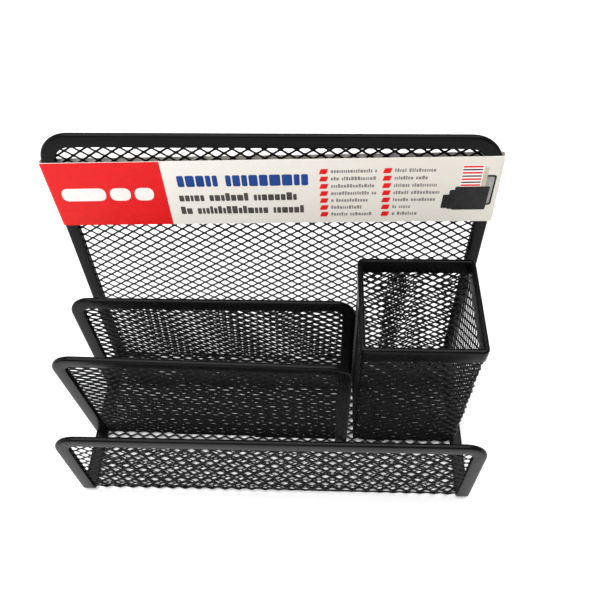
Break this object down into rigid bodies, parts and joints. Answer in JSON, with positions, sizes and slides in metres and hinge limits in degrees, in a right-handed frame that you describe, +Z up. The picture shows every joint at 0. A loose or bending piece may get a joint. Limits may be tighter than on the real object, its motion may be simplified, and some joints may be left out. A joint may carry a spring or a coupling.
{
  "type": "desk organizer",
  "caption": "Black steel mesh desk organizer: low front panel, upright dividers and a pen cup on one tray, tall back panel with a slide-off printed card sleeve.",
  "frame": {"origin": "on the table plane, under the middle of the object's bounding box", "axes": "+X to the right seen from the front, along the width; +Y from the front panel to the back panel; +Z up; the low front panel faces -Y"},
  "size_m": [0.2284, 0.1076, 0.1775],
  "materials": {
    "black_mesh": "satin powder coat",
    "black_channel": "satin powder coat",
    "weld_steel": "powder coated weld",
    "printed_card": "semi-gloss print"
  },
  "bodies": {
    "organizer": {"body_mesh": "black_mesh", "front_rim": "black_channel", "back_rim": "black_channel", "base_rim_left": "black_channel", "base_rim_right": "black_channel", "front_divider_mesh": "black_mesh", "front_divider_rim": "black_channel", "rear_divider_mesh": "black_mesh", "rear_divider_rim": "black_channel", "cup_wall_mesh": "black_mesh", "cup_floor_mesh": "black_mesh", "cup_band": "black_channel", "spot_welds": "weld_steel"},
    "sleeve": {"card_sleeve": "printed_card"}
  },
  "joints": [
    {"name": "sleeve_slide", "type": "slide", "parent": "organizer", "child": "sleeve", "axis": [0, 0.068, 0.9977], "range_m": [0, 0.052]}
  ]
}
